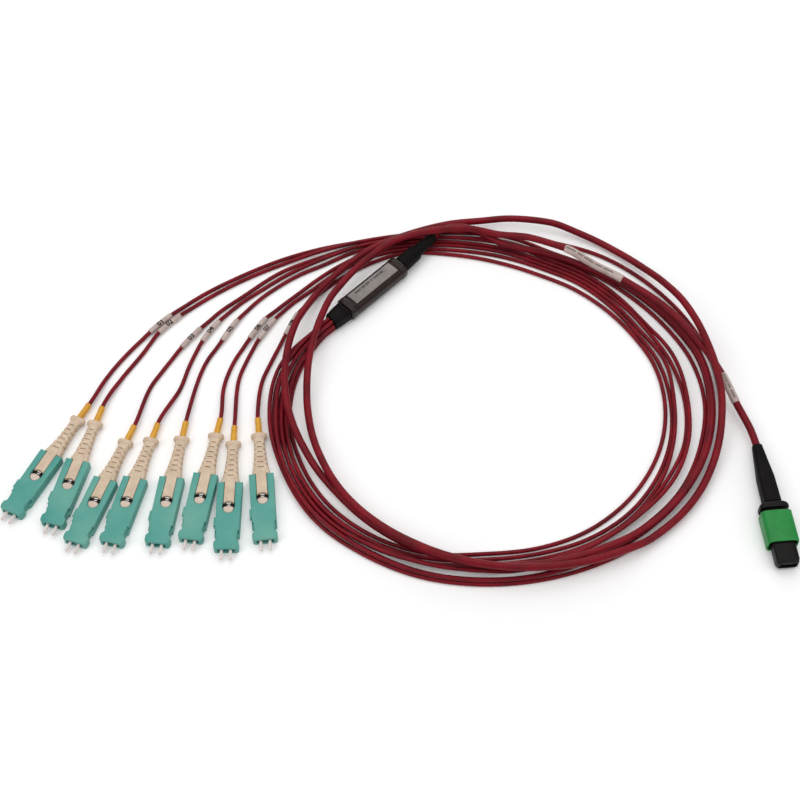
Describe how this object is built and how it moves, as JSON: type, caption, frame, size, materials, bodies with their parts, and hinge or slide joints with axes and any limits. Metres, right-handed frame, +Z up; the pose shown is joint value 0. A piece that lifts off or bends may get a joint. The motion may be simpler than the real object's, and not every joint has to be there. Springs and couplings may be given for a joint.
{
  "type": "fibre optic breakout cable",
  "caption": "Coiled fibre breakout cable: a trunk with a multi-fibre plug, a fan-out housing and thin legs to duplex push-pull plugs, lying on a level floor.",
  "frame": {"origin": "middle of the underside of the fan-out housing, on the floor", "axes": "+Z up from the floor, +X from the duplex plugs' side to the multi-fibre plug's side, +Y away from the plugs"},
  "size_m": [0.3063, 0.1792, 0.0123],
  "materials": {
    "crimson_jacket": "smooth low-smoke jacket, slight sheen",
    "aqua_plastic": "fine moulded",
    "beige_rubber": "moulded, ribbed",
    "beige_plastic": "fine moulded",
    "orange_sleeve": "shrunk sleeve",
    "label_white": "printed film",
    "smoked_housing": "glossy smoked moulding",
    "grey_label": "satin label",
    "black_rubber": "matt moulded",
    "green_plastic": "fine moulded",
    "black_plastic": "satin moulded",
    "dark_ferrule": "polished ferrule"
  },
  "bodies": {
    "cable": {"housing_1": "aqua_plastic", "plug_core_1": "beige_plastic", "strain_sleeve_1": "orange_sleeve", "marker_1": "label_white", "leg_cable_1": "crimson_jacket", "housing_2": "aqua_plastic", "plug_core_2": "beige_plastic", "strain_sleeve_2": "orange_sleeve", "marker_2": "label_white", "leg_cable_2": "crimson_jacket", "housing_3": "aqua_plastic", "plug_core_3": "beige_plastic", "strain_sleeve_3": "orange_sleeve", "marker_3": "label_white", "leg_cable_3": "crimson_jacket", "housing_4": "aqua_plastic", "plug_core_4": "beige_plastic", "strain_sleeve_4": "orange_sleeve", "marker_4": "label_white", "leg_cable_4": "crimson_jacket", "housing_5": "aqua_plastic", "plug_core_5": "beige_plastic", "strain_sleeve_5": "orange_sleeve", "marker_5": "label_white", "leg_cable_5": "crimson_jacket", "housing_6": "aqua_plastic", "plug_core_6": "beige_plastic", "strain_sleeve_6": "orange_sleeve", "marker_6": "label_white", "leg_cable_6": "crimson_jacket", "housing_7": "aqua_plastic", "plug_core_7": "beige_plastic", "strain_sleeve_7": "orange_sleeve", "marker_7": "label_white", "leg_cable_7": "crimson_jacket", "housing_8": "aqua_plastic", "plug_core_8": "beige_plastic", "strain_sleeve_8": "orange_sleeve", "marker_8": "label_white", "leg_cable_8": "crimson_jacket", "trunk_cable": "crimson_jacket", "fanout_body": "smoked_housing", "fanout_label": "grey_label", "fanout_leg_boot": "black_rubber", "fanout_trunk_boot": "black_rubber", "mpo_boot": "black_rubber", "mpo_collar": "black_plastic", "mpo_plug_frame": "black_plastic", "mpo_ferrule": "dark_ferrule", "trunk_label_top": "label_white", "trunk_label_near_mpo": "label_white"},
    "push_pull_boot_1": {"boot_1": "beige_rubber"},
    "push_pull_boot_2": {"boot_2": "beige_rubber"},
    "push_pull_boot_3": {"boot_3": "beige_rubber"},
    "push_pull_boot_4": {"boot_4": "beige_rubber"},
    "push_pull_boot_5": {"boot_5": "beige_rubber"},
    "push_pull_boot_6": {"boot_6": "beige_rubber"},
    "push_pull_boot_7": {"boot_7": "beige_rubber"},
    "push_pull_boot_8": {"boot_8": "beige_rubber"},
    "coupling_sleeve": {"mpo_sleeve": "green_plastic"}
  },
  "joints": [
    {"name": "boot_1_slide", "type": "slide", "parent": "cable", "child": "push_pull_boot_1", "axis": [0.4321, 0.9018, 0], "range_m": [0, 0.0012], "stiffness_N_per_m": 300},
    {"name": "boot_2_slide", "type": "slide", "parent": "cable", "child": "push_pull_boot_2", "axis": [0.2351, 0.972, 0], "range_m": [0, 0.0012], "stiffness_N_per_m": 300},
    {"name": "boot_3_slide", "type": "slide", "parent": "cable", "child": "push_pull_boot_3", "axis": [0.309, 0.9511, 0], "range_m": [0, 0.0012], "stiffness_N_per_m": 300},
    {"name": "boot_4_slide", "type": "slide", "parent": "cable", "child": "push_pull_boot_4", "axis": [0.2284, 0.9736, 0], "range_m": [0, 0.0012], "stiffness_N_per_m": 300},
    {"name": "boot_5_slide", "type": "slide", "parent": "cable", "child": "push_pull_boot_5", "axis": [0.1149, 0.9934, 0], "range_m": [0, 0.0012], "stiffness_N_per_m": 300},
    {"name": "boot_6_slide", "type": "slide", "parent": "cable", "child": "push_pull_boot_6", "axis": [0.1374, 0.9905, 0], "range_m": [0, 0.0012], "stiffness_N_per_m": 300},
    {"name": "boot_7_slide", "type": "slide", "parent": "cable", "child": "push_pull_boot_7", "axis": [-0.0052, 1, 0], "range_m": [0, 0.0012], "stiffness_N_per_m": 300},
    {"name": "boot_8_slide", "type": "slide", "parent": "cable", "child": "push_pull_boot_8", "axis": [-0.1045, 0.9945, 0], "range_m": [0, 0.0012], "stiffness_N_per_m": 300},
    {"name": "sleeve_slide", "type": "slide", "parent": "cable", "child": "coupling_sleeve", "axis": [-0.0872, 0.9962, 0], "range_m": [0, 0.0012], "stiffness_N_per_m": 600}
  ]
}
